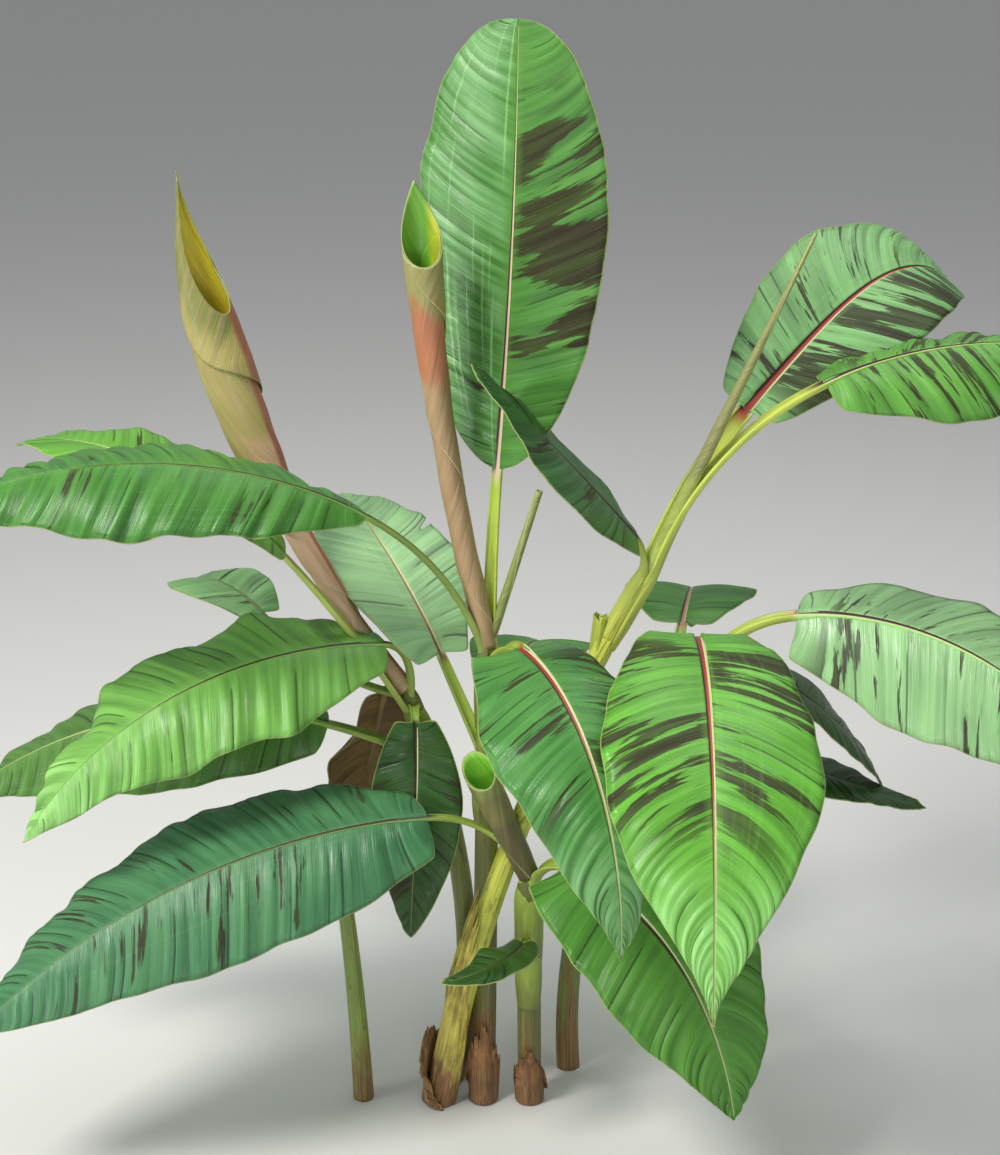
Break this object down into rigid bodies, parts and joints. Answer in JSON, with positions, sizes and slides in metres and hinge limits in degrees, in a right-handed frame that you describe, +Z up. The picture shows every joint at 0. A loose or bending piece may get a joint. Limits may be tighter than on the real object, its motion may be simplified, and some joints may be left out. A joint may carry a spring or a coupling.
{
  "type": "banana plant",
  "caption": "Young banana plant: a clump of slender stems from one root with long leaf stalks, broad arching streaked leaves, rolled new leaves and dry old sheaths.",
  "frame": {"origin": "middle of the flat cut under the main stem, at ground level", "axes": "+Z up along the main stem, -Y towards the side that the clump is seen from, +X to that view's right"},
  "size_m": [1.3468, 0.8485, 1.2443],
  "materials": {
    "stem": "smooth, yellow-green, slightly glossy, with fine lengthwise fibres",
    "petiole": "smooth yellow-green leaf stalk, satin",
    "blade": "green leaf, satin to glossy, pleated by its side veins, with maroon-brown streaks and a red midrib",
    "withered": "dry brown hanging leaf, matt",
    "rolled": "rolled new leaf, tan to pinkish brown outside and yellow-green inside, satin",
    "sheath": "dry papery old sheath, brown to orange, matt"
  },
  "bodies": {
    "root": {"stem_main": "stem", "stem_leaning": "stem", "stem_front": "stem", "stem_back": "stem", "stem_sucker": "stem", "stem_left": "stem", "sheath_leaning": "sheath", "sheath_leaning_foot": "sheath", "sheath_main": "sheath", "sheath_front": "sheath", "petiole_stub": "petiole", "rolled_tall": "rolled", "rolled_left": "rolled", "rolled_thin": "rolled", "rolled_open": "rolled", "rolled_right": "rolled", "petiole_tall": "petiole", "petiole_folded": "petiole", "petiole_arching_left": "petiole", "petiole_pale_back": "petiole", "petiole_small_back": "petiole", "petiole_wavy_left": "petiole", "petiole_under_left": "petiole", "petiole_low_left": "petiole", "petiole_withered": "petiole", "petiole_hanging": "petiole", "petiole_front": "petiole", "petiole_broad_front": "petiole", "petiole_right": "petiole", "petiole_upper_right": "petiole", "petiole_far_right": "petiole", "petiole_shaded_right": "petiole", "petiole_low_front": "petiole", "petiole_dark_right": "petiole", "petiole_hidden_back": "petiole", "petiole_small_low": "petiole", "petiole_back_main": "petiole", "petiole_back_right": "petiole", "blade_tall": "blade", "blade_folded": "blade", "blade_arching_left": "blade", "blade_pale_back": "blade", "blade_small_back": "blade", "blade_wavy_left": "blade", "blade_under_left": "blade", "blade_low_left": "blade", "blade_withered": "withered", "blade_hanging": "blade", "blade_front": "blade", "blade_broad_front": "blade", "blade_right": "blade", "blade_upper_right": "blade", "blade_far_right": "blade", "blade_shaded_right": "blade", "blade_low_front": "blade", "blade_dark_right": "blade", "blade_hidden_back": "blade", "blade_small_low": "blade", "blade_back_main": "blade", "blade_back_right": "blade"}
  },
  "joints": []
}
